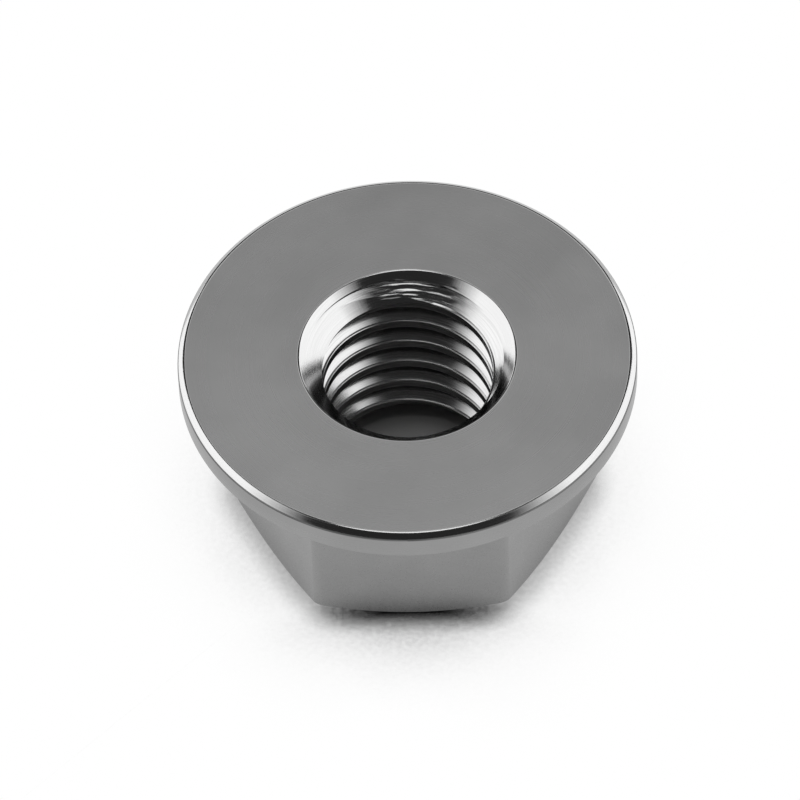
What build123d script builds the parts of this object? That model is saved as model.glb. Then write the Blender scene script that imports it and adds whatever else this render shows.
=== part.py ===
from build123d import *
from build123d.topology import SkipClean
import os
from math import ceil, cos, radians, tan

# All lengths are in millimetres and all angles in degrees. The nut stands on
# the end face of its hexagon at z = 0, with its flange and bearing face on top.

# Whole nut
nut_height = 8.2

# Flange, with its flat bearing face on top and a cone behind it
flange_diameter = 17.9
flange_rim_height = 0.98
flange_bevel_width = 0.24
flange_bevel_height = 0.19
flange_back_slope = 25.0

# Hexagon, with rounded upright edges and the turned cone that cuts its six
# corners back at the end face
across_flats = 12.9
hexagon_sides = 6
hexagon_edge_radius = 0.45
end_bevel_inset = 0.16
end_bevel_slope = 30.0

# Right-hand metric internal thread, with the flanks of its groove at 60 degrees
thread_diameter = 8.0
thread_pitch = 1.25
flank_angle = 30.0

# The groove's cutter reaches this far into the open bore, and the bore's wall
# is made in this many sectors
cutter_overrun = 0.15
bore_sectors = 6

# The two countersinks that lead into the thread
countersink_oversize = 0.47
countersink_angle = 90.0

# Punch marks in the end face, which squeeze the last turns of the thread
# out of round so that the nut grips its bolt
punch_marks = 3
punch_mark_length = 1.5
punch_mark_width = 0.7
punch_mark_depth = 0.3
punch_mark_taper = 20.0

# Sizes that follow from those above
flange_radius = flange_diameter / 2
bearing_face_radius = flange_radius - flange_bevel_width
rim_bottom = nut_height - flange_bevel_height - flange_rim_height
flat_distance = across_flats / 2
corner_distance = flat_distance / cos(radians(180 / hexagon_sides))
end_face_radius = flat_distance - end_bevel_inset

# The groove's root is at the thread's full diameter, and an eighth of the pitch
# wide. What stays between two turns of it is a crest, a quarter of the pitch wide.
root_radius = thread_diameter / 2
root_width = thread_pitch / 8
crest_width = thread_pitch / 4
groove_depth = (thread_pitch - crest_width - root_width) / 2 / tan(radians(flank_angle))
crest_radius = root_radius - groove_depth
countersink_radius = (thread_diameter + countersink_oversize) / 2
countersink_depth = (countersink_radius - crest_radius) / tan(radians(countersink_angle / 2))


def turned(*points, arc=360):
    """Turn an outline of (radius, height) points about the nut's axis."""
    outline = make_face(Plane.XZ * Polyline(*points, close=True))
    return revolve(outline, axis=Axis.Z, revolution_arc=arc)


def hexagon():
    """Six flats, with two of them facing along Y, cut off by the end cone."""
    polygon = RegularPolygon(flat_distance, hexagon_sides, major_radius=False)
    profile = fillet(polygon.vertices(), hexagon_edge_radius)
    prism = extrude(profile, amount=rim_bottom)
    clear_radius = corner_distance + end_bevel_inset
    bevel_height = (clear_radius - end_face_radius) * tan(radians(end_bevel_slope))
    end_cone = turned(
        (0, 0),
        (end_face_radius, 0),
        (clear_radius, bevel_height),
        (clear_radius, rim_bottom),
        (0, rim_bottom),
    )
    return prism & end_cone


def flange():
    """The round flange, whose back falls as a cone until it meets the flats."""
    back_drop = (flange_radius - flat_distance) * tan(radians(flange_back_slope))
    return turned(
        (0, rim_bottom - back_drop),
        (flat_distance, rim_bottom - back_drop),
        (flange_radius, rim_bottom),
        (flange_radius, nut_height - flange_bevel_height),
        (bearing_face_radius, nut_height),
        (0, nut_height),
    )


def punch_mark():
    """One tapered dent, as a flat-nosed punch leaves it."""
    mouth = SlotOverall(punch_mark_length, punch_mark_width, rotation=90)
    return extrude(mouth, amount=punch_mark_depth, taper=punch_mark_taper)


def bore_sector():
    """One sector of the hole at the thread's crests, countersunk at both ends."""
    return turned(
        (0, 0),
        (countersink_radius, 0),
        (crest_radius, countersink_depth),
        (crest_radius, nut_height - countersink_depth),
        (countersink_radius, nut_height),
        (0, nut_height),
        arc=360 / bore_sectors,
    )


def groove_turn(height):
    """One turn of the thread's groove, which starts at this height over +X."""
    mouth_radius = crest_radius - cutter_overrun
    root_half = root_width / 2
    mouth_half = root_half + (root_radius - mouth_radius) * tan(radians(flank_angle))
    profile = Polygon(
        (mouth_radius, height - mouth_half),
        (root_radius, height - root_half),
        (root_radius, height + root_half),
        (mouth_radius, height + mouth_half),
        align=None,
    )
    path = Pos(0, 0, height) * Helix(thread_pitch, thread_pitch, crest_radius)
    return sweep(Plane.XZ * profile, path=path, is_frenet=True)


mark_circle = (countersink_radius + end_face_radius) / 2
nut = hexagon() + flange()
nut -= PolarLocations(mark_circle, punch_marks, start_angle=90) * punch_mark()

# The sectors and turns aren't merged again, so the helical crest is a row of
# short patches of wall. The groove runs on past both ends, where it fades out
# in the countersinks.
with SkipClean():
    for sector in range(bore_sectors):
        nut -= Rot(0, 0, 360 / bore_sectors * sector) * bore_sector()
    for turn in range(-1, ceil(nut_height / thread_pitch) + 1):
        nut -= groove_turn(thread_pitch * turn)

os.makedirs("parts", exist_ok=True)
export_step(nut, "parts/nut.step")
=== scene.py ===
# %% [markdown]
# # A flange lock nut
# The real nut is one piece of metal. It is pressed to a hexagon with a round
# flange, then faced, bored, countersunk and tapped on a lathe. This lesson
# makes it in that order, one tool after the other, and gives each tool's
# surface the finish that this tool leaves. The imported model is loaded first,
# as the fixed frame that every size here is taken from.

# %% Load the fixed frame
import math

import bmesh
import bpy
from mathutils import Matrix, Quaternion, Vector


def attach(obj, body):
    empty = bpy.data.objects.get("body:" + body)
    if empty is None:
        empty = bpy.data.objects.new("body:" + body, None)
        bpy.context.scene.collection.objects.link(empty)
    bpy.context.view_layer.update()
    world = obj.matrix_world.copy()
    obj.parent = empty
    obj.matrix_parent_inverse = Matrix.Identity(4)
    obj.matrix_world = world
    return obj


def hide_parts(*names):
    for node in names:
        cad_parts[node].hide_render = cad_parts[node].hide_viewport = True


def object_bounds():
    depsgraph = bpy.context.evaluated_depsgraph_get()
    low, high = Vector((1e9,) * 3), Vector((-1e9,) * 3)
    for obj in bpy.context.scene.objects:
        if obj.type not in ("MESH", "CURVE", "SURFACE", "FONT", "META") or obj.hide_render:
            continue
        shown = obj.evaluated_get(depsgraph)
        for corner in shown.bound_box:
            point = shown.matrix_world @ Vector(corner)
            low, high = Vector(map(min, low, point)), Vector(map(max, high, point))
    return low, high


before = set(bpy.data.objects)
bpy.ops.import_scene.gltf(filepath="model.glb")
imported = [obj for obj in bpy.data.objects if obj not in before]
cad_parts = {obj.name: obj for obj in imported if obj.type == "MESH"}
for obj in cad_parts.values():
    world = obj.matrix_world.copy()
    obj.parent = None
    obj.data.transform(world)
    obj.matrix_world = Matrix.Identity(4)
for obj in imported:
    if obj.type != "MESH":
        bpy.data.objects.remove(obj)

MM = 0.001
cad_low, cad_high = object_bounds()
print("frame box in mm:", [round(side / MM, 3) for side in cad_high - cad_low])

# %% [markdown]
# ## Sizes
# The frame gives the height of the nut and the radius of its flange. Each
# other size is named once, in metres, where a maker would look for it: the
# bevels, the hexagon, the countersinks and the thread. The small radii are the
# ones that a tumbler leaves. They are too small to see as shapes, but they
# catch the light and draw the thin bright lines along real edges.

# %% Sizes of the nut
nut_height = cad_high.z - cad_low.z
flange_radius = (cad_high.x - cad_low.x) / 2
rim_height = 0.98 * MM
rim_bevel_width = 0.24 * MM
rim_bevel_height = 0.19 * MM
back_slope = math.radians(25)

flat_distance = 6.45 * MM
end_face_radius = 6.29 * MM
end_slope = math.radians(30)

pitch = 1.25 * MM
root_radius = 4 * MM
flank_angle = math.radians(30)
mouth_radius = 4.235 * MM

rim_edge_radius = 0.06 * MM
mouth_edge_radius = 0.14 * MM
hexagon_edge_radius = 0.45 * MM

corner_distance = flat_distance / math.cos(math.pi / 6)
crest_radius = root_radius - 5 / 16 * pitch / math.tan(flank_angle)
rim_bottom = nut_height - rim_bevel_height - rim_height
overrun = 1 * MM
print("crest radius in mm:", round(crest_radius / MM, 4))

# %% [markdown]
# ## A lathe for outlines
# A lathe turns an outline into a round body, and so does the spin operator.
# It takes a few points of the outline and carries them round the axis. An
# outline that starts and ends on the axis closes itself there, because the
# doubles that the spin leaves at each pole are merged.
#
# Small radii are made in the outline, with a vertex bevel, before it is spun.
# That is cleaner than a bevel on the finished body, whose faces it would cut.

# %% Turn an outline into a round body
TURN_STEPS = 288
MERGE = 1e-8

def turned(outline, rounded=()):
    """Spin (radius, height) points about the axis, with a small radius at the rounded ones."""
    shape = bmesh.new()
    points = [shape.verts.new((across, 0, up)) for across, up in outline]
    for first, second in zip(points, points[1:]):
        shape.edges.new((first, second))
    if rounded:
        bmesh.ops.bevel(
            shape, geom=[points[place] for place in rounded], offset=rim_edge_radius,
            offset_type="OFFSET", segments=6, profile=0.5, affect="VERTICES", material=-1,
        )
    bmesh.ops.spin(
        shape, geom=shape.verts[:] + shape.edges[:], cent=(0, 0, 0), axis=(0, 0, 1),
        dvec=(0, 0, 0), angle=math.tau, steps=TURN_STEPS, use_merge=True,
    )
    bmesh.ops.remove_doubles(shape, verts=shape.verts, dist=MERGE)
    bmesh.ops.recalc_face_normals(shape, faces=shape.faces)
    return shape

# %% [markdown]
# ## Five finishes on one piece
# The pressed hexagon is satin, the faced flange is smoother, the bevels and
# countersinks shine, the drilled wall is dull and painted dark as shade, and
# the thread is bright with fine marks along its turns. All five lie on one piece, so they are
# five material slots of one mesh. Each tool body carries the same slots, and
# its own faces point at the slot of the finish that it leaves. A Boolean keeps
# these numbers, so every cut comes out with its own finish and nothing has to
# be picked by hand afterwards.

# %% Name the finishes and make a tool body
FINISHES = ["pressed", "faced", "bright", "drilled", "tapped"]
PRESSED, FACED, BRIGHT, DRILLED, TAPPED = range(len(FINISHES))
finish = {name: bpy.data.materials.new(name) for name in FINISHES}

def body(name, shape, slot=None):
    """Make an object from a shape. With a slot, every face of it gets that finish."""
    if slot is not None:
        for face in shape.faces:
            face.material_index = slot
    mesh = bpy.data.meshes.new(name)
    shape.to_mesh(mesh)
    shape.free()
    for name_of_finish in FINISHES:
        mesh.materials.append(finish[name_of_finish])
    made = bpy.data.objects.new(name, mesh)
    bpy.context.scene.collection.objects.link(made)
    return made

# %% [markdown]
# ## The hexagon
# Two flats face along Y. The operator's circle of six segments has a corner on
# the Y axis, so it is turned by 30 degrees first. Its long edges get a small
# radius with an edge bevel while the bar is still a plain prism, because that
# is when those six edges are easy to name: they are the upright ones.

# %% Make the hexagon bar
def hexagon_bar():
    shape = bmesh.new()
    bmesh.ops.create_circle(
        shape, cap_ends=True, segments=6, radius=corner_distance,
        matrix=Matrix.Rotation(math.pi / 6, 4, "Z"),
    )
    raised = bmesh.ops.extrude_face_region(shape, geom=shape.faces[:])["geom"]
    corners = [part for part in raised if isinstance(part, bmesh.types.BMVert)]
    bmesh.ops.translate(shape, verts=corners, vec=(0, 0, rim_bottom))
    bmesh.ops.recalc_face_normals(shape, faces=shape.faces)
    upright = [
        edge for edge in shape.edges if abs(edge.verts[0].co.z - edge.verts[1].co.z) > MM
    ]
    bmesh.ops.bevel(
        shape, geom=upright, offset=hexagon_edge_radius * math.tan(math.pi / 6),
        offset_type="OFFSET", segments=8, profile=0.5, affect="EDGES", material=-1,
    )
    return shape

nut = body("nut_piece", hexagon_bar(), PRESSED)
print("hexagon bar faces:", len(nut.data.polygons))

# %% [markdown]
# ## Cut and join with Booleans
# A turned nut is a sum of tool cuts, so Booleans describe it best. The manifold
# solver is used, because every body here is closed, and it then promises a
# closed result, also where the thread runs out in the countersinks. After each
# cut the result becomes the nut's own mesh, and the tool is removed. Corners
# that nearly meet are merged, because the slivers between them have no
# direction of their own and would throw dark spikes into the shading.

# %% Apply a tool to the nut
SLIVER = 0.002 * MM

def apply_tool(tool, operation):
    """Join, cut or intersect the nut with a tool body, and keep only the result."""
    step = nut.modifiers.new(tool.name, "BOOLEAN")
    step.object = tool
    step.operation = operation
    step.solver = "MANIFOLD"
    step.material_mode = "INDEX"
    worked = nut.evaluated_get(bpy.context.evaluated_depsgraph_get())
    result = bpy.data.meshes.new_from_object(worked)
    nut.modifiers.clear()
    shape = bmesh.new()
    shape.from_mesh(result)
    bmesh.ops.remove_doubles(shape, verts=shape.verts, dist=SLIVER)
    bmesh.ops.dissolve_degenerate(shape, dist=SLIVER, edges=shape.edges)
    shape.to_mesh(result)
    shape.free()
    used = [nut.data, tool.data]
    nut.data = result
    bpy.data.objects.remove(tool)
    for mesh in used:
        bpy.data.meshes.remove(mesh)
    print(f"{operation.lower()}: {len(result.polygons)} faces")

# %% [markdown]
# ## The end bevel
# The corners of the end face are turned off by a cone of 30 degrees. It is
# just inside the flats at its smallest, so it touches all six of them and
# leaves the round end face and the arched lower edges that every such nut has.
# The cone is a turned body as wide as the corners, and the nut keeps what lies
# inside it.

# %% Turn off the corners at the end face
clear_radius = corner_distance + overrun
end_cone = turned([
    (0, 0),
    (end_face_radius, 0),
    (clear_radius, (clear_radius - end_face_radius) * math.tan(end_slope)),
    (clear_radius, nut_height),
    (0, nut_height),
], rounded=[1])
apply_tool(body("end_cone", end_cone, PRESSED), "INTERSECT")

# %% [markdown]
# ## The flange
# The flange is one turned outline: a cone at the back that sinks into the
# flats, the rim, a narrow bevel and the bearing face. The faces get their
# finish by where they are. The back stays as it was pressed, the rim and the
# bearing face are faced on the lathe, and the bevel between them is bright. The
# narrow radius below the bevel is given the dark drilled tone, which draws a
# thin dark line there.

# %% Add the flange
back_drop = (flange_radius - flat_distance) * math.tan(back_slope)
flange = turned([
    (0, rim_bottom - back_drop),
    (flat_distance, rim_bottom - back_drop),
    (flange_radius, rim_bottom),
    (flange_radius, nut_height - rim_bevel_height),
    (flange_radius - rim_bevel_width, nut_height),
    (0, nut_height),
], rounded=[2, 3, 4])

def flange_finish(face):
    up = face.normal.z
    if up > 0.999 or abs(up) < 0.001:
        return FACED
    if up < 0:
        return PRESSED
    # The radius from the rim up to the bevel gets the dark drilled tone, as a thin dark line.
    return BRIGHT if up > 0.7 else DRILLED

for face in flange.faces:
    face.material_index = flange_finish(face)
apply_tool(body("flange", flange), "UNION")

# %% [markdown]
# ## The bore
# The hole is drilled at the radius of the thread's crests and countersunk at
# both ends with 90 degrees. One turned outline does it all. It runs on past
# both faces, so that no cut lies exactly in a face. The drilled wall keeps its
# own finish, of which the thread leaves only the crests. The two sharp mouths
# then get their small radius with an edge bevel, while they are clean rings.

# %% Drill and countersink the bore
countersink_depth = mouth_radius - crest_radius
drill = turned([
    (0, -overrun),
    (mouth_radius + overrun, -overrun),
    (crest_radius, countersink_depth),
    (crest_radius, nut_height - countersink_depth),
    (mouth_radius + overrun, nut_height + overrun),
    (0, nut_height + overrun),
])
for face in drill.faces:
    face.material_index = DRILLED if abs(face.normal.z) < 0.001 else BRIGHT
apply_tool(body("drill", drill), "DIFFERENCE")

def round_mouths():
    shape = bmesh.new()
    shape.from_mesh(nut.data)
    rings = []
    for edge in shape.edges:
        far = [math.hypot(corner.co.x, corner.co.y) for corner in edge.verts]
        on_face = all(
            min(abs(corner.co.z), abs(corner.co.z - nut_height)) < MERGE for corner in edge.verts
        )
        if on_face and all(abs(distance - mouth_radius) < 0.01 * MM for distance in far):
            rings.append(edge)
    made = bmesh.ops.bevel(
        shape, geom=rings, offset=mouth_edge_radius * math.tan(math.pi / 8), offset_type="OFFSET",
        segments=6, profile=0.5, affect="EDGES", material=-1,
    )
    for face in made["faces"]:
        face.material_index = BRIGHT
    shape.to_mesh(nut.data)
    shape.free()
    return len(rings)

print("mouth edges rounded:", round_mouths())

# %% [markdown]
# ## The thread
# A tap cuts one long groove. Its section is a trapezium with flanks at 60
# degrees to each other, an eighth of the pitch wide at the root. The spin
# operator makes the helix when it is given a rise for each step. The helix
# starts below the nut and ends above it, so the groove runs out in both
# countersinks as on a real nut.
#
# A tap also drags the metal at the crest's edge up to a narrow lip, which lies
# a little flatter than the flank and rolls over into the crest. These lips are
# the fine double lines that run round inside a real thread. The section gets
# them as a short flatter piece and an arc, so they are part of the groove.

# %% Tap the thread
THREAD_STEPS = 144
ARC_STEPS = 8
lip_width = 0.1 * MM
lip_radius = 0.05 * MM
lip_slope = math.radians(17)
reach_in = 0.15 * MM

def groove_section():
    """Half of the groove's (radius, height) outline, from the bore to the root."""
    lip_height = pitch / 16 + (root_radius - crest_radius - lip_width) * math.tan(flank_angle)
    turn_end = math.pi / 2 - lip_slope
    lip_left = lip_width - lip_radius * (1 - math.cos(turn_end))
    arc_middle = lip_height + lip_left * math.tan(lip_slope) + lip_radius * math.sin(turn_end)
    outline = [(crest_radius - reach_in, arc_middle)]
    for step in range(ARC_STEPS + 1):
        angle = turn_end * step / ARC_STEPS
        outline.append((
            crest_radius + lip_radius * (1 - math.cos(angle)),
            arc_middle - lip_radius * math.sin(angle),
        ))
    return outline + [(crest_radius + lip_width, lip_height), (root_radius, pitch / 16)]

def tap():
    half = groove_section()
    section = half + [(across, -up) for across, up in reversed(half)]
    turns = math.ceil(nut_height / pitch) + 2
    shape = bmesh.new()
    points = [shape.verts.new((across, 0, up - pitch)) for across, up in section]
    face = shape.faces.new(points)
    bmesh.ops.spin(
        shape, geom=points + face.edges[:] + [face], cent=(0, 0, 0), axis=(0, 0, 1),
        dvec=(0, 0, pitch / THREAD_STEPS), angle=turns * math.tau, steps=turns * THREAD_STEPS,
    )
    bmesh.ops.recalc_face_normals(shape, faces=shape.faces)
    return shape

apply_tool(body("tap", tap(), TAPPED), "DIFFERENCE")

# %% [markdown]
# ## The punch marks
# An all-metal lock nut needs something that grips. Here three blunt punches
# press dents into the hidden end face; on a real nut they push the last turns
# of the thread a little out of round. Each punch is a tapered block with round
# ends: a circle that is parted at its middle, pushed apart and extruded to a
# smaller tip.

# %% Punch the end face
MARKS = 3
mark_length = 1.5 * MM
mark_width = 0.7 * MM
mark_depth = 0.3 * MM
mark_taper = math.radians(20)
mark_circle = (mouth_radius + end_face_radius) / 2

def punch(direction):
    shape = bmesh.new()
    bmesh.ops.create_circle(shape, cap_ends=True, segments=32, radius=mark_width / 2)
    for corner in shape.verts:
        corner.co.x += math.copysign((mark_length - mark_width) / 2, corner.co.x)
    bmesh.ops.translate(shape, verts=shape.verts[:], vec=(0, 0, -mark_depth))
    raised = bmesh.ops.extrude_face_region(shape, geom=shape.faces[:])["geom"]
    tip = [part for part in raised if isinstance(part, bmesh.types.BMVert)]
    bmesh.ops.translate(shape, verts=tip, vec=(0, 0, 2 * mark_depth))
    shrink = 2 * mark_depth * math.tan(mark_taper)
    bmesh.ops.scale(shape, verts=tip, vec=(1 - 2 * shrink / mark_length, 1 - 2 * shrink / mark_width, 1))
    bmesh.ops.recalc_face_normals(shape, faces=shape.faces)
    place = Matrix.Rotation(direction, 4, "Z") @ Matrix.Translation((0, mark_circle, 0))
    bmesh.ops.transform(shape, matrix=place, verts=shape.verts)
    return shape

for mark in range(MARKS):
    apply_tool(body("punch", punch(mark * math.tau / MARKS), PRESSED), "DIFFERENCE")

# %% [markdown]
# ## Smooth and sharp
# Round surfaces are smooth, and real edges are sharp. Edges steeper than a set
# angle are marked sharp, and the rest are shaded smooth. On a flat next to a
# narrow radius, plain smooth shading would bend the light all over the flat.
# Weighted normals stop that: the large faces stay flat, and the narrow radii
# take all of the turn, as they do on metal.

# %% Shade the nut
SHARP_ANGLE = math.radians(12)

def shade_nut():
    shape = bmesh.new()
    shape.from_mesh(nut.data)
    loose = sum(not edge.is_manifold for edge in shape.edges)
    volume = shape.calc_volume() / MM**3
    shape.free()
    nut.data.shade_smooth()
    nut.data.set_sharp_from_angle(angle=SHARP_ANGLE)
    print("open edges:", loose, "volume in cubic mm:", round(volume, 2))

shade_nut()
weighted = nut.modifiers.new("weighted_normals", "WEIGHTED_NORMAL")
weighted.mode = "FACE_AREA"
weighted.keep_sharp = True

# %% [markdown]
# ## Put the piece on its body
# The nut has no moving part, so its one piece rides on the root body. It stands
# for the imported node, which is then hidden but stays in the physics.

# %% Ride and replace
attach(nut, "root")
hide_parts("nut")

# %% [markdown]
# ## Shader maths as Python
# A finish is a small calculation on the position on the nut: how far out, at
# which angle and how high. Wrapping a socket in a class with operators lets
# that be written as a sum. One method makes every other node.

# %% A class for sockets and one for node trees
class Signal:
    """A socket that can stand in a sum."""

    def __init__(self, sheet, socket):
        self.sheet = sheet
        self.socket = socket

    def math(self, operation, first, second):
        return self.sheet.node("ShaderNodeMath", {"operation": operation}, {0: first, 1: second})

    def __add__(self, other):
        return self.math("ADD", self, other)

    def __sub__(self, other):
        return self.math("SUBTRACT", self, other)

    def __rsub__(self, other):
        return self.math("SUBTRACT", other, self)

    def __mul__(self, other):
        return self.math("MULTIPLY", self, other)

    def __pow__(self, other):
        return self.math("POWER", self, other)

    __radd__ = __add__
    __rmul__ = __mul__


class Sheet:
    """The node tree of a material or of the world."""

    def __init__(self, owner):
        owner.use_nodes = True
        self.tree = owner.node_tree
        self.tree.nodes.clear()

    def node(self, kind, settings=None, sockets=None, output=0):
        made = self.tree.nodes.new(kind)
        for name, value in (settings or {}).items():
            setattr(made, name, value)
        for name, value in (sockets or {}).items():
            if isinstance(value, Signal):
                self.tree.links.new(value.socket, made.inputs[name])
            else:
                made.inputs[name].default_value = value
        return Signal(self, made.outputs[output] if made.outputs else None)

    def vector(self, x, y, z):
        return self.node("ShaderNodeCombineXYZ", sockets={"X": x, "Y": y, "Z": z})

    def noise(self, vector, detail=2):
        return self.node("ShaderNodeTexNoise", sockets={"Vector": vector, "Scale": 1, "Detail": detail})

    def spread(self, value, low, high):
        """Stretch a noise, whose middle is about 0.35 to 0.65, to run from low to high."""
        return self.node("ShaderNodeMapRange", sockets={
            "Value": value, "From Min": 0.35, "From Max": 0.65, "To Min": low, "To Max": high,
        })

    def grey(self, level):
        return self.node("ShaderNodeCombineColor", sockets={"Red": level, "Green": level, "Blue": level})


print("shader helpers ready")

# %% [markdown]
# ## Where a point is on the nut
# Turned surfaces have marks that run round the axis, so their patterns need the
# distance from the axis and the angle, not only x and y. The angle's seam lies
# at the front of the bore. Lengths are counted in millimetres here, so that a
# noise with a scale of 20 has about 20 grains in a millimetre.

# %% Read the place on the nut
def place_on_nut(sheet):
    spot = sheet.node("ShaderNodeTexCoord", output="Object")
    axes = [sheet.node("ShaderNodeSeparateXYZ", sockets={"Vector": spot}, output=axis) for axis in "XYZ"]
    x, y, z = [axis * (1 / MM) for axis in axes]
    across = (x * x + y * y) ** 0.5
    turn = x.math("ARCTAN2", x, y)
    return x, y, z, across, turn

# %% [markdown]
# ## One steel, five finishes
# Every finish is the same bare metal. Only its tint, its gloss and its fine
# marks differ, so one function makes them all from three patterns: a tone for
# the colour, a gloss for the roughness and a height for the bump.

# %% Make a steel finish
def steel(sheet, tone, gloss, height, depth):
    bump = sheet.node("ShaderNodeBump", sockets={"Strength": 1, "Distance": depth, "Height": height})
    metal = sheet.node("ShaderNodeBsdfPrincipled", sockets={
        "Base Color": sheet.grey(tone), "Metallic": 1, "Roughness": gloss, "Normal": bump,
    })
    sheet.node("ShaderNodeOutputMaterial", sockets={"Surface": metal})

# %% [markdown]
# ## The pressed finish
# The hexagon and the back of the flange keep the skin that the die gave them:
# satin, with fine grains and soft clouds of tone, and no direction.

# %% Pressed: hexagon, flange back and end face
sheet = Sheet(finish["pressed"])
x, y, z, across, turn = place_on_nut(sheet)
clouds = sheet.noise(sheet.vector(x * 0.5, y * 0.5, z * 0.5), 3)
grains = sheet.noise(sheet.vector(x * 14, y * 14, z * 14), 4)
steel(
    sheet,
    tone=sheet.spread(clouds, 0.278, 0.298) + sheet.spread(grains, -0.012, 0.012),
    gloss=sheet.spread(grains, 0.27, 0.36),
    height=grains,
    depth=0.0006 * MM,
)

# %% [markdown]
# ## The faced finish
# The tool that faces the flange leaves rings round the bore. They are so fine
# that they only show as a faint silk. The rim was turned by the same tool, and
# its rings run round it, so height is part of the pattern as well. The front is
# painted a little brighter than the back, as painted light falling on it.

# %% Faced: bearing face and rim
sheet = Sheet(finish["faced"])
x, y, z, across, turn = place_on_nut(sheet)
rings = sheet.noise(sheet.vector(across * 24, z * 24, turn * 0.6), 3)
clouds = sheet.noise(sheet.vector(x * 0.3, y * 0.3, z * 0.3), 3)
# Painted light: the tone rises towards the front of the face.
painted_front_light = y * 0.0032 + x * 0.0002
steel(
    sheet,
    tone=sheet.spread(clouds, 0.278, 0.306) + sheet.spread(rings, -0.003, 0.003) - painted_front_light,
    gloss=sheet.spread(rings, 0.27, 0.30),
    height=rings,
    depth=0.0001 * MM,
)

# %% [markdown]
# ## Where the thread broke out
# At the back of the bore the first turn of thread broke out ragged through the
# countersink. Only there the ridges are coarse enough to catch the light from
# overhead, as a few short bright dashes. Two of the finishes meet in that
# patch, so its ridges come from one function that both of them use.

# %% Ragged ridges at the back of the countersink
def between(sheet, value, low, high, blur):
    """One between low and high, and zero a blur's width outside of them."""
    rise = sheet.node("ShaderNodeMapRange", sockets={"Value": value, "From Min": low - blur, "From Max": low})
    fall = sheet.node("ShaderNodeMapRange", sockets={"Value": value, "From Min": high + blur, "From Max": high})
    return rise * fall

def ragged(sheet, across, z, turn):
    ridges = sheet.noise(sheet.vector(across * 6, z * 6, turn * 3.5), 1)
    height = nut_height / MM
    patch = between(sheet, turn, -0.25, 0.45, 0.3) * between(sheet, z, height - 0.85, height - 0.3, 0.1)
    return (ridges - 0.5) * patch

# %% [markdown]
# ## The bright finish
# Bevel and countersinks are cut last, by a sharp tool, and shine like mirrors.
# Two marks give them away: hair-fine rings from the feed, and a chatter that
# runs down the cone and frays the edges of every reflection.

# %% Bright: bevel, countersinks and small radii
sheet = Sheet(finish["bright"])
x, y, z, across, turn = place_on_nut(sheet)
feed = sheet.noise(sheet.vector(across * 26, z * 26, turn * 1.2), 2)
chatter = sheet.noise(sheet.vector(turn * 55, across * 0.8, z * 0.8), 2)
steel(
    sheet,
    tone=sheet.spread(feed, 0.45, 0.49),
    gloss=sheet.spread(feed, 0.09, 0.15),
    height=feed * 0.6 + chatter * 0.5 + ragged(sheet, across, z, turn) * 50,
    depth=0.0012 * MM,
)

# %% [markdown]
# ## The drilled finish
# The drill tears and smears the wall more than it cuts it, and leaves it
# dull. Its dark tone is painted shade. Only the thread's narrow crests still
# show this finish.

# %% Drilled: crests of the thread
sheet = Sheet(finish["drilled"])
x, y, z, across, turn = place_on_nut(sheet)
smears = sheet.noise(sheet.vector(z * 30, turn * 4, across * 4), 3)
# The low tone is painted shade; the smears, the roughness and the bump are the drill's own marks.
steel(
    sheet,
    tone=sheet.spread(smears, 0.10, 0.22),
    gloss=sheet.spread(smears, 0.30, 0.42),
    height=smears,
    depth=0.002 * MM,
)

# %% [markdown]
# ## The tapped finish
# A tap scrapes along its own helix. The height less the rise of the helix at
# this angle stays the same all along a turn, so a noise on it makes streaks
# that follow the thread exactly.

# %% Tapped: the thread
sheet = Sheet(finish["tapped"])
x, y, z, across, turn = place_on_nut(sheet)
along = z + turn * (pitch / MM / math.tau)
streaks = sheet.noise(sheet.vector(along * 22, across * 22, turn * 1.2), 4)
steel(
    sheet,
    tone=sheet.spread(streaks, 0.43, 0.51),
    gloss=sheet.spread(streaks, 0.11, 0.20),
    height=streaks + ragged(sheet, across, z, turn) * 26,
    depth=0.0015 * MM,
)

# %% [markdown]
# ## The floor
# The nut rests on a plain matt board, light grey to the light that bounces off
# it. To the camera and in the mirror of the metal it is white wherever it is
# open to the sky, and near the nut it turns back to the matt board, so the
# shadow stays. An ambient occlusion node tells how open a place is, and from it
# a shadow is painted into the board. A second one with a short reach paints a
# nearly black shadow into the narrow gap at the nut's foot. The light comes from
# both sides and from the back, and a mask by place paints the shadow deep in
# front and under the nut and weaker at the sides. A fine grain frays the edge of
# the painted shadow, for the tooth of the board. In the mirror of the metal the
# painted shadow is a little weaker, which keeps the foot of the hexagon clear.
# All other light meets the matt board alone, which saves the render much work.
# A camera below the board looks through it, so the nut's end can be seen.

# %% Lay the floor
floor_shape = bmesh.new()
bmesh.ops.create_grid(floor_shape, x_segments=1, y_segments=1, size=1.5)
floor_mesh = bpy.data.meshes.new("floor")
floor_shape.to_mesh(floor_mesh)
floor_shape.free()
floor = bpy.data.objects.new("floor", floor_mesh)
bpy.context.scene.collection.objects.link(floor)

BOARD_GREY = 0.8
GAP_SHADOW_GREY = 0.02
MIRROR_SHARE = 0.85
SIDE_SHADOW = 0.42
WIDE_REACH = 16 * MM
NEAR_REACH = 1.6 * MM
LOOKS = {"samples": 8}

board = bpy.data.materials.new("board")
sheet = Sheet(board)
seen, in_mirror, in_glass = [
    sheet.node("ShaderNodeLightPath", output=kind)
    for kind in ("Is Camera Ray", "Is Glossy Ray", "Is Transmission Ray")
]
open_wide = sheet.node("ShaderNodeAmbientOcclusion", LOOKS, {"Distance": WIDE_REACH}, output="AO")
open_near = sheet.node("ShaderNodeAmbientOcclusion", LOOKS, {"Distance": NEAR_REACH}, output="AO")
x, y, z, across, turn = place_on_nut(sheet)
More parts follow.
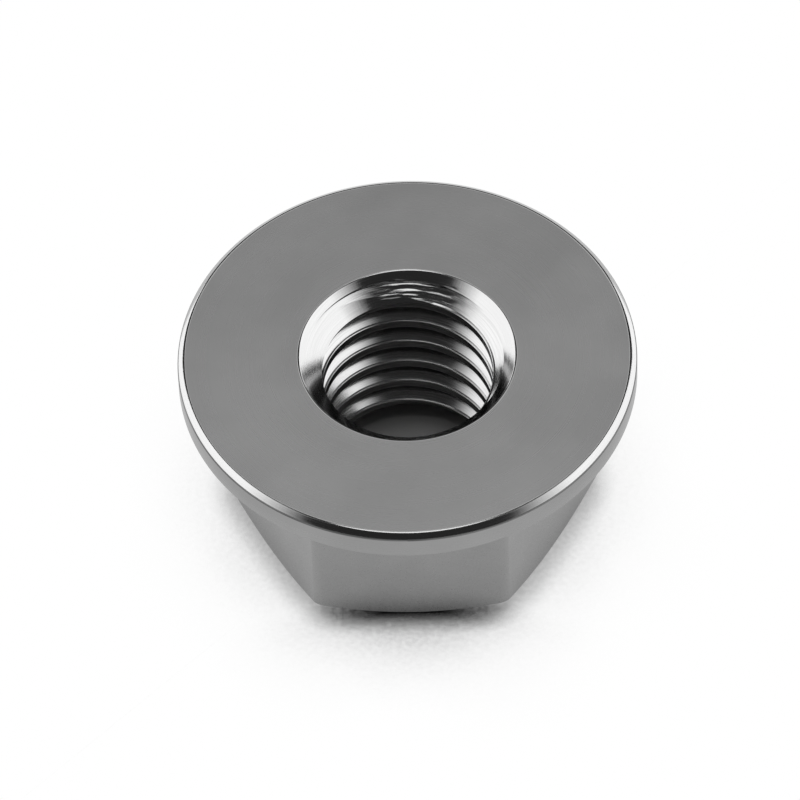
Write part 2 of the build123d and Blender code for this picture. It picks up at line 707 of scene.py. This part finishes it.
# Painted shadow: this mask by place makes the board's shadow deep in front of the nut and weaker at its sides.
ahead = 0 - y - x.math("ABSOLUTE", x, 0) * 0.35
front = sheet.node("ShaderNodeMapRange", sockets={
    "Value": ahead, "From Min": 4.6, "From Max": 6, "To Min": SIDE_SHADOW, "To Max": 1,
})
# Painted shadow: under the nut, within this radius, the board is shaded fully.
shadow_under_nut = sheet.node("ShaderNodeMapRange", sockets={"Value": across, "From Min": 6, "From Max": 5})
hidden_wide = sheet.node("ShaderNodeMapRange", sockets={
    "Value": open_wide, "From Min": 0.66, "From Max": 0.38,
})
hidden_near = sheet.node("ShaderNodeMapRange", sockets={
    "Value": open_near, "From Min": 0.84, "From Max": 0.55,
})
shadow_grain = sheet.spread(sheet.noise(sheet.vector(x * 5, y * 5, 0), 4), 0.78, 1.22)
# In the mirror of the metal the painted shadow is made weaker.
shadow_by_place = front * (1 - in_mirror * 0.4)
painted_shadow = hidden_wide * shadow_by_place.math("MAXIMUM", shadow_by_place * shadow_grain, shadow_under_nut)
lifted = (1 - painted_shadow) * (seen + (in_mirror + in_glass) * MIRROR_SHARE)
matt = sheet.node("ShaderNodeBsdfDiffuse", sockets={"Color": (BOARD_GREY, BOARD_GREY, BOARD_GREY, 1)})
# A nearly black board, mixed in as painted shadow in the gap at the nut's foot.
gap_shadow = sheet.node("ShaderNodeBsdfDiffuse", sockets={"Color": (GAP_SHADOW_GREY, GAP_SHADOW_GREY, GAP_SHADOW_GREY, 1)})
white = sheet.node("ShaderNodeEmission", sockets={"Strength": 1})
open_board = sheet.node("ShaderNodeMixShader", sockets={0: lifted, 1: matt, 2: white})
topside = sheet.node("ShaderNodeMixShader", sockets={0: hidden_near * shadow_by_place, 1: open_board, 2: gap_shadow})
from_below = seen * sheet.node("ShaderNodeNewGeometry", output="Backfacing")
clear = sheet.node("ShaderNodeBsdfTransparent")
shown = sheet.node("ShaderNodeMixShader", sockets={0: from_below, 1: topside, 2: clear})
looked_at = seen + in_mirror + in_glass
surface = sheet.node("ShaderNodeMixShader", sockets={0: looked_at, 1: matt, 2: shown})
sheet.node("ShaderNodeOutputMaterial", sockets={"Surface": surface})
floor_mesh.materials.append(board)

# %% [markdown]
# ## The light
# Metal shows what stands round it, so the studio is planned by what the nut
# mirrors. The camera looks down from the front, and the flat bearing face sends
# it the light of a soft screen behind the nut. Two tall screens at the sides
# make the bevel and the countersinks white there, and a small one overhead
# draws the thin bright lines along the edges. A faint low one in front is there
# for views from the back. Nothing stands round the camera, so faces that look
# at it go dark. The screens are patches of a large sphere, because then their
# edges can be given as the angles at which they are seen.

# %% Put up the screens
SCREEN_FAR = 0.45
SCREEN_STEPS = 12
EDGE_LEAN = 0.5
ROOM_LIGHT = 0.035

def patch(azimuths, elevations):
    """A part of a sphere. Azimuth 0 is the front and 90 the right side."""
    start, end = [math.radians(angle) for angle in azimuths]
    low, high = [math.radians(angle) for angle in elevations]
    shape = bmesh.new()
    arc = []
    for step in range(SCREEN_STEPS + 1):
        above = low + (high - low) * step / SCREEN_STEPS
        across = SCREEN_FAR * math.cos(above)
        arc.append(shape.verts.new((
            across * math.sin(start), -across * math.cos(start), SCREEN_FAR * math.sin(above),
        )))
    for first, second in zip(arc, arc[1:]):
        shape.edges.new((first, second))
    bmesh.ops.spin(
        shape, geom=shape.verts[:] + shape.edges[:], cent=(0, 0, 0), axis=(0, 0, 1),
        dvec=(0, 0, 0), angle=end - start, steps=2 * SCREEN_STEPS, use_merge=end - start > 6.2,
    )
    bmesh.ops.remove_doubles(shape, verts=shape.verts, dist=MM)
    return shape

def screen(name, azimuths, elevations, brightness, front_fade=0, top_fade=0):
    """A glowing patch that fades in, over so many degrees, from its front and top edges."""
    shape = patch(azimuths, elevations)
    mesh = bpy.data.meshes.new(name)
    shape.to_mesh(mesh)
    shape.free()
    glow = bpy.data.materials.new(name)
    sheet = Sheet(glow)
    spot = sheet.node("ShaderNodeTexCoord", output="Object")
    x, y, z = [
        sheet.node("ShaderNodeSeparateXYZ", sockets={"Vector": spot}, output=axis) for axis in "XYZ"
    ]
    from_front = x.math("ARCTAN2", x.math("ABSOLUTE", x, 0), y * -1) * math.degrees(1)
    above = x.math("ARCSINE", z * (1 / SCREEN_FAR), 0) * math.degrees(1)
    front = min(abs(angle) for angle in azimuths)
    share = 1
    if front_fade:
        share = share * sheet.node("ShaderNodeMapRange", sockets={
            "Value": from_front - above * EDGE_LEAN, "From Min": front, "From Max": front + front_fade,
        })
    if top_fade:
        share = share * sheet.node("ShaderNodeMapRange", sockets={
            "Value": above, "From Min": elevations[1], "From Max": elevations[1] - top_fade,
        })
    dark = sheet.node("ShaderNodeEmission", sockets={"Strength": ROOM_LIGHT})
    light = sheet.node("ShaderNodeEmission", sockets={"Strength": brightness})
    surface = sheet.node("ShaderNodeMixShader", sockets={0: share, 1: dark, 2: light})
    sheet.node("ShaderNodeOutputMaterial", sockets={"Surface": surface})
    mesh.materials.append(glow)
    made = bpy.data.objects.new(name, mesh)
    bpy.context.scene.collection.objects.link(made)
    made.visible_camera = False

screen("right_screen", (27, 127), (0, 72), 1.9, front_fade=33, top_fade=16)
screen("left_screen", (-127, -27), (0, 72), 1.9, front_fade=33, top_fade=16)
screen("right_wing", (127, 148), (0, 16), 1.9)
screen("left_wing", (-148, -127), (0, 16), 1.9)
screen("rear_screen", (156, 204), (32, 70), 0.90)
screen("top_screen", (0, 360), (77, 90), 1.7)
screen("front_screen", (-60, 60), (0, 26), 0.4, top_fade=8)

# %% [markdown]
# ## The room
# Beyond the screens the room is nearly dark, and the metal mirrors it where it
# has its dark accents. To the camera it is white, so that a low view shows the
# same white behind the nut as the board has.

# %% Light the room
room = bpy.data.worlds.new("room")
bpy.context.scene.world = room
sheet = Sheet(room)
seen = sheet.node("ShaderNodeLightPath", output="Is Camera Ray")
dim = sheet.node("ShaderNodeBackground", sockets={"Color": (1, 1, 1, 1), "Strength": ROOM_LIGHT})
white = sheet.node("ShaderNodeBackground", sockets={"Color": (1, 1, 1, 1), "Strength": 1})
mixed = sheet.node("ShaderNodeMixShader", sockets={0: seen, 1: dim, 2: white})
sheet.node("ShaderNodeOutputWorld", sockets={"Surface": mixed})

# %% [markdown]
# ## The camera
# The photograph was taken from far away with a long lens, 51 degrees above the
# board and a little to the right, with the camera tipped by two degrees. The
# camera stands at that place and aims just below and left of the middle of the
# bearing face, so the framing needs no shift.

# %% Set up the camera
view_azimuth = math.radians(1.63)
view_elevation = math.radians(51.42)
view_roll = math.radians(-2.25)
view_distance = 313.4 * MM

camera_data = bpy.data.cameras.new("camera")
camera_data.lens = 362.5
camera_data.sensor_width = 36
camera = bpy.data.objects.new("camera", camera_data)
bpy.context.scene.collection.objects.link(camera)
bpy.context.scene.camera = camera

away = Vector((
    math.sin(view_azimuth) * math.cos(view_elevation),
    -math.cos(view_azimuth) * math.cos(view_elevation),
    math.sin(view_elevation),
))
face_centre = Vector((0, 0, nut_height))
tipped = (-away).to_track_quat("-Z", "Y") @ Quaternion((0, 0, 1), view_roll)
aim = face_centre + tipped @ Vector((-0.275 * MM, -1.775 * MM, 0))
camera.location = face_centre + away * view_distance
camera.rotation_mode = "QUATERNION"
looking = (aim - camera.location).to_track_quat("-Z", "Y")
camera.rotation_quaternion = looking @ Quaternion((0, 0, 1), view_roll)

scene = bpy.context.scene
scene.view_settings.view_transform = "Standard"
